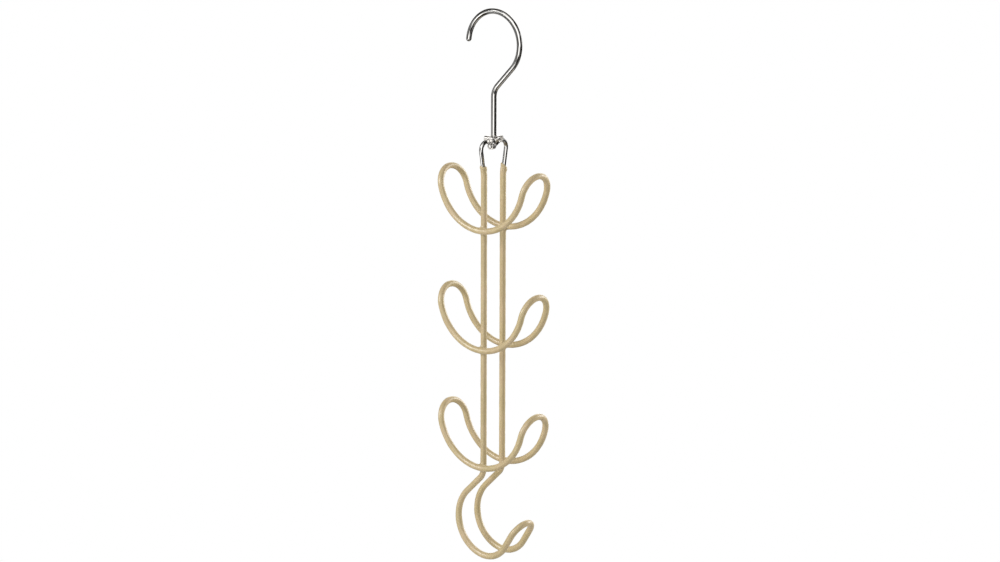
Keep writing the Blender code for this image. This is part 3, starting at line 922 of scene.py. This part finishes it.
over_tongue = (place >= TONGUE_FROM - SAME_POINT) & (place <= TONGUE_TO + SAME_POINT)
narrow = np.where(over_tongue, TONGUE_ROOT, wide)
print("the blank is", round(2 * half_blank / MM, 1), "mm long and has", len(rows), "rows")

# %% [markdown]
# The tongue grows from the plate's edge. It folds down beside the head, leans in to the wires,
# and closes round both from below. Its rows start on the plate's own points, so the two merge
# into one sheet.

# %% The tongue's path
LEAN = 35.0
WRAP = BARE_WIRE / 2 + GAP + STRIP / 2
ROOT_FOLD = 0.8 * MM
LIP_UP = 1.3 * MM

lean = math.radians(LEAN)
outside = TONGUE_ROOT + ROOT_FOLD
slant = (outside - WRAP - 2 * FOLD * (1 - math.cos(lean))) / math.sin(lean)
drop = HEAD_DEPTH + GAP - plate_depth - ROOT_FOLD
used = 2 * FOLD * math.sin(lean) + slant * math.cos(lean)
tongue_runs = [
    bend(ROOT_FOLD, 90.0),
    (drop, 0.0),
    bend(FOLD, LEAN),
    (slant, 0.0),
    bend(FOLD, -LEAN),
    (lower_end - HEAD_DEPTH - GAP - used, 0.0),
    bend(WRAP, 180.0),
    (LIP_UP, 0.0),
]
tongue = (tongue_runs, (-TONGUE_ROOT, -plate_depth), 180.0)
print("the tongue takes", round(length_of(tongue_runs) / MM, 1), "mm of strip")

# %% The sheet, of two halves and a tongue
SEAM = 0.002 * MM
COLUMNS = 7
TONGUE_RINGS = 70


def strip_half(edge, inner, side):
    """One half of the saddle between its opening and its edge: q = inner + t (edge - inner)."""
    share = np.linspace(0, 1, COLUMNS)[None, :]
    across = side * (inner[:, None] + share * (edge - inner)[:, None])
    y, z, _ = follow(np.repeat(rows[:, None], COLUMNS, axis=1), *saddle)
    return np.stack([across, y, z], axis=-1)


left = strip_half(narrow, opening, -1)
right = strip_half(wide, opening, 1)
tongue_steps = np.linspace(0, length_of(tongue_runs), TONGUE_RINGS)
tongue_rows = rows[over_tongue] - half_blank
distance, y = np.meshgrid(tongue_steps, tongue_rows, indexing="ij")
x, z, _ = follow(distance, *tongue)
lapping = np.stack([x, y, z], axis=-1)

left_faces = grid_faces(len(rows), COLUMNS, False, False)[:, ::-1]
right_faces = grid_faces(len(rows), COLUMNS, False, False) + left[..., 0].size
tongue_faces = grid_faces(len(tongue_steps), len(tongue_rows), False, False)
tongue_faces = tongue_faces + 2 * left[..., 0].size
clip = make_piece(
    "folded_clip",
    np.concatenate([left.reshape(-1, 3), right.reshape(-1, 3), lapping.reshape(-1, 3)]),
    np.concatenate([left_faces, right_faces, tongue_faces]),
)
shape = bmesh.new()
shape.from_mesh(clip.data)
bmesh.ops.remove_doubles(shape, verts=shape.verts, dist=SEAM)
bmesh.ops.recalc_face_normals(shape, faces=shape.faces)
shape.to_mesh(clip.data)
shape.free()
print("merged along its seams the sheet has", len(clip.data.vertices), "points")

# %% The strip's thickness and its edges
EDGE_BREAK = 0.12 * MM
EDGE_ANGLE = 50.0

thick = clip.modifiers.new("strip", "SOLIDIFY")
thick.thickness = STRIP
thick.offset = 0.0
thick.use_even_offset = True
soft = clip.modifiers.new("tumbled", "BEVEL")
soft.width = EDGE_BREAK
soft.segments = 3
soft.angle_limit = math.radians(EDGE_ANGLE)
clip.data.materials.append(strip)
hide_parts("swivel_clip")
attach(clip, "hanger")
print("the clip has", [modifier.name for modifier in clip.modifiers])

# %% [markdown]
# ## The floor
#
# The hanger hangs well clear of a pale floor, so it can be looked at from beneath as well. The
# floor is a disc whose rows are circles. Near its middle it keeps the soft shadow. Further out
# its material turns into plain white, so that it meets the white surroundings without an edge. A
# flat plane would do as well in one view, but its far corners would show in others. Reflections
# pass it by, because the tent that comes next draws all that the chrome mirrors.

# %% The floor
FLOOR_DEPTH = 1200 * MM
FLOOR_RADIUS = 1600 * MM
PLAIN_FROM = 900 * MM
CARD_SHARE = 0.4
FLOOR_ROUND = 96
FLOOR_RINGS = 24


def looked_at(tree):
    """1 where a camera, a mirror or a glass looks, and 0 for light that spreads from matt things."""
    camera, glossy, through = (tree.node("ShaderNodeLightPath", {}, {}, ray) for ray in (0, 3, 6))
    return camera + glossy + through


def floor_finish():
    """Pale matt card with a faint fibre, turning to plain white away from the middle.

    Only what looks at the floor sees the white. Light that spreads still meets the matt card.
    """
    material = bpy.data.materials.new("floor_card")
    tree = Tree(material)
    place = tree.object_place()
    fibre = tree.noise(place, 60.0, 4.0)
    colour = tree.mixed(fibre, (0.88, 0.88, 0.87, 1), (0.82, 0.82, 0.81, 1))
    card = tree.node("ShaderNodeBsdfDiffuse", {}, {"Color": colour})
    white = tree.node("ShaderNodeEmission", {}, {"Color": (1, 1, 1, 1), "Strength": 1.0})
    middle = tree.near(place, (0.0, 0.0, -FLOOR_DEPTH), PLAIN_FROM)
    share = looked_at(tree) * (1.0 - middle * CARD_SHARE)
    shader = tree.node("ShaderNodeMixShader", {}, {0: share, 1: card, 2: white})
    tree.node("ShaderNodeOutputMaterial", {}, {"Surface": shader})
    return material


ring = np.linspace(0, 2 * np.pi, FLOOR_ROUND, endpoint=False)
spread = np.linspace(0, FLOOR_RADIUS, FLOOR_RINGS)
reach_out, angle = np.meshgrid(spread, ring, indexing="ij")
level = np.full(angle.shape, -FLOOR_DEPTH)
disc = np.stack([reach_out * np.cos(angle), reach_out * np.sin(angle), level], axis=-1)
floor = make_piece("floor", disc, grid_faces(len(spread), len(ring), True, False)[:, ::-1])
floor.data.materials.append(floor_finish())
floor.visible_glossy = False

# %% [markdown]
# ## White surroundings
#
# The room is the world. It is white to whatever looks at it, but as a light it is only moderately
# bright and the same from all sides, which is what a white tent does for matt surfaces.

# %% The room
ROOM_LIGHT = 0.68


def room():
    """White to the camera, to mirrors and to glass, and a soft even light to matt surfaces."""
    tree = Tree(bpy.context.scene.world)
    light = tree.node("ShaderNodeBackground", {}, {"Color": (1, 1, 1, 1), "Strength": ROOM_LIGHT})
    white = tree.node("ShaderNodeBackground", {}, {"Color": (1, 1, 1, 1), "Strength": 1.0})
    shader = tree.node("ShaderNodeMixShader", {}, {0: looked_at(tree), 1: light, 2: white})
    tree.node("ShaderNodeOutputWorld", {}, {"Surface": shader})


if bpy.context.scene.world is None:
    bpy.context.scene.world = bpy.data.worlds.new("room")
room()
print("the room gives", ROOM_LIGHT)

# %% [markdown]
# ## The reflection tent
#
# Chrome has no colour of its own. In a white room it turns white and its shape is gone, so a
# studio hangs a dark tent round it and cuts windows in it: the tent draws the black edges, and
# each soft window draws one bright line along the wire. The tent here is a sphere that only
# reflections can see, so it takes no light from the vinyl and stands in no view. Each window is
# given by its angles, and its brightness is eased at its edge, as a soft box's is. Each is laid
# over the ones before it, like one sheet over another. The brightness is kept at the sphere's
# points, because that is easier to write on arrays than as nodes.

# %% The tent's windows
FACING = -50.4
# Each window: sides from and to, heights from and to, soft edge, all in degrees, and brightness.
# Side 0 faces the camera, and sides to its right are above 0.
WINDOWS = (
    (-126.0, -78.0, -6.0, 16.0, 5.0, 0.22),
    (-92.0, -30.0, 7.0, 25.0, 5.0, 0.20),
    (-82.0, -69.0, -19.0, -3.0, 5.0, 1.7),
    (-66.0, -42.0, -17.0, -5.0, 5.0, 0.12),
    (-71.0, -52.0, -29.0, -15.0, 4.0, 2.4),
    (-52.0, -34.0, -28.0, -19.0, 4.0, 1.5),
    (-52.0, -8.0, -42.0, -31.0, 6.0, 0.30),
    (12.0, 44.0, -28.0, 12.0, 8.0, 0.17),
    (-39.0, 5.0, -17.0, 2.0, 5.0, 1.5),
    (-24.0, 24.0, 1.0, 30.0, 5.0, 1.5),
    (-86.0, 26.0, 29.0, 44.0, 6.0, 1.6),
    (-66.0, 16.0, 42.0, 64.0, 8.0, 1.4),
    (24.0, 52.0, 28.0, 54.0, 8.0, 0.58),
    (-110.0, 50.0, 66.0, 100.0, 10.0, 0.5),
    (-112.0, -92.0, -56.0, -18.0, 8.0, 0.3),
    (66.0, 120.0, -64.0, -30.0, 8.0, 0.16),
    (-10.0, 190.0, -100.0, -62.0, 10.0, 0.34),
    (104.0, 140.0, 4.0, 24.0, 6.0, 0.6),
    (-168.0, -124.0, -56.0, 0.0, 6.0, 0.25),
    (146.0, 188.0, -24.0, 2.0, 6.0, 1.5),
    (154.0, 188.0, 1.0, 26.0, 6.0, 1.5),
    (146.0, 188.0, 25.0, 40.0, 6.0, 1.5),
)


def window_share(side, height, window):
    """1 inside a window and 0 outside: the smooth step of d / soft + 1 / 2.

    d is the smallest of the distances to the window's four edges, in degrees.
    """
    left_edge, right_edge, low_edge, high_edge, soft, _ = window
    across = np.minimum(side - left_edge, right_edge - side)
    upward = np.minimum(height - low_edge, high_edge - height)
    share = np.clip(np.minimum(across, upward) / soft + 0.5, 0.0, 1.0)
    return share * share * (3.0 - 2.0 * share)


print("the tent has", len(WINDOWS), "windows")

# %% The tent
TENT_RADIUS = 1300 * MM
TENT_MIDDLE = -190 * MM
TENT_SHADE = (0.012, 0.010, 0.008)
WARMTH = (1.0, 0.985, 0.95)
TENT_SIDES = 181
TENT_HEIGHTS = 91


def tent_cloth():
    """Cloth that only glows, as bright as its points say."""
    material = bpy.data.materials.new("tent_cloth")
    tree = Tree(material)
    glow = tree.mark("glow")
    tree.finish(Base_Color=(0, 0, 0, 1), Roughness=1.0, Emission_Color=glow, Emission_Strength=1.0)
    return material


sides = np.linspace(-170.0, 190.0, TENT_SIDES)
heights = np.linspace(-90.0, 90.0, TENT_HEIGHTS)
side, height = np.meshgrid(sides, heights, indexing="ij")
glow = np.tile(TENT_SHADE, (*side.shape, 1))
for window in WINDOWS:
    share = window_share(side, height, window)[..., None]
    glow = glow + share * (window[-1] * np.array(WARMTH) - glow)
t, h = np.radians(side + FACING), np.radians(height)
sphere = TENT_RADIUS * np.stack([np.cos(h) * np.cos(t), np.cos(h) * np.sin(t), np.sin(h)], axis=-1)
sphere[..., 2] += TENT_MIDDLE
tent = make_piece("tent", sphere, grid_faces(*side.shape, False, False)[:, ::-1], glow=glow)
tent.data.materials.append(tent_cloth())
tent.visible_camera = False
tent.visible_diffuse = False
tent.visible_transmission = False
tent.visible_shadow = False
print("the brightest point of the tent is", round(float(glow.max()), 2))

# %% [markdown]
# ## Lamps
#
# Two large soft lamps model the wires. The key stands on the left, a little above the hanger. The
# rim lamp stands behind it on the right, and lays a light edge along every wire that turns away.
# With the room's light they add up to about one, so a colour renders about as it is written.

# %% The lamps
def soft_lamp(name, side, height, away, size, power):
    """A square area lamp, placed by its angle from the camera's side and its height angle."""
    angle, up = math.radians(FACING + side), math.radians(height)
    outward = np.array([math.cos(angle) * math.cos(up), math.sin(angle) * math.cos(up), math.sin(up)])
    light = bpy.data.lights.new(name, "AREA")
    light.size = size
    light.energy = power
    lamp = bpy.data.objects.new(name, light)
    bpy.context.scene.collection.objects.link(lamp)
    middle = np.array([0.0, 0.0, TENT_MIDDLE])
    flat_turn = Matrix.Rotation(angle + math.pi / 2, 4, "Z")
    tip_over = Matrix.Rotation(math.pi / 2 - up, 4, "X")
    lamp.matrix_world = Matrix.Translation(middle + outward * away) @ flat_turn @ tip_over
    print(name, "is at", [round(value, 2) for value in lamp.matrix_world.translation])


soft_lamp("key_lamp", side=-70.0, height=22.0, away=1.6, size=0.6, power=13.5)
soft_lamp("rim_lamp", side=120.0, height=12.0, away=1.6, size=0.9, power=20.0)

# %% [markdown]
# ## The camera
#
# A long lens, a little above the hanger, looking down on it and across its corner. The angle is
# counted from -Y towards +X.

# %% The camera
CAMERA_ANGLE = 39.59
CAMERA_AWAY = 1.7
CAMERA_HEIGHT = 0.14454
CAMERA_PITCH = 11.11
CAMERA_ROLL = 0.19
AIM_RIGHT = 0.1595
LENS = 87.786

turned = math.radians(CAMERA_ANGLE)
place = (CAMERA_AWAY * math.sin(turned), -CAMERA_AWAY * math.cos(turned), CAMERA_HEIGHT)
spot = Matrix.Translation(place)
heading = Matrix.Rotation(turned - math.radians(AIM_RIGHT), 4, "Z")
tilt = Matrix.Rotation(math.radians(90.0 - CAMERA_PITCH), 4, "X")
roll = Matrix.Rotation(math.radians(CAMERA_ROLL), 4, "Z")
lens = bpy.data.cameras.new("camera")
lens.lens = LENS
camera = bpy.data.objects.new("camera", lens)
bpy.context.scene.collection.objects.link(camera)
camera.matrix_world = spot @ heading @ tilt @ roll
bpy.context.scene.camera = camera
bpy.context.scene.view_settings.view_transform = "Standard"
print("camera at", [round(value, 3) for value in camera.matrix_world.translation])

# %% [markdown]
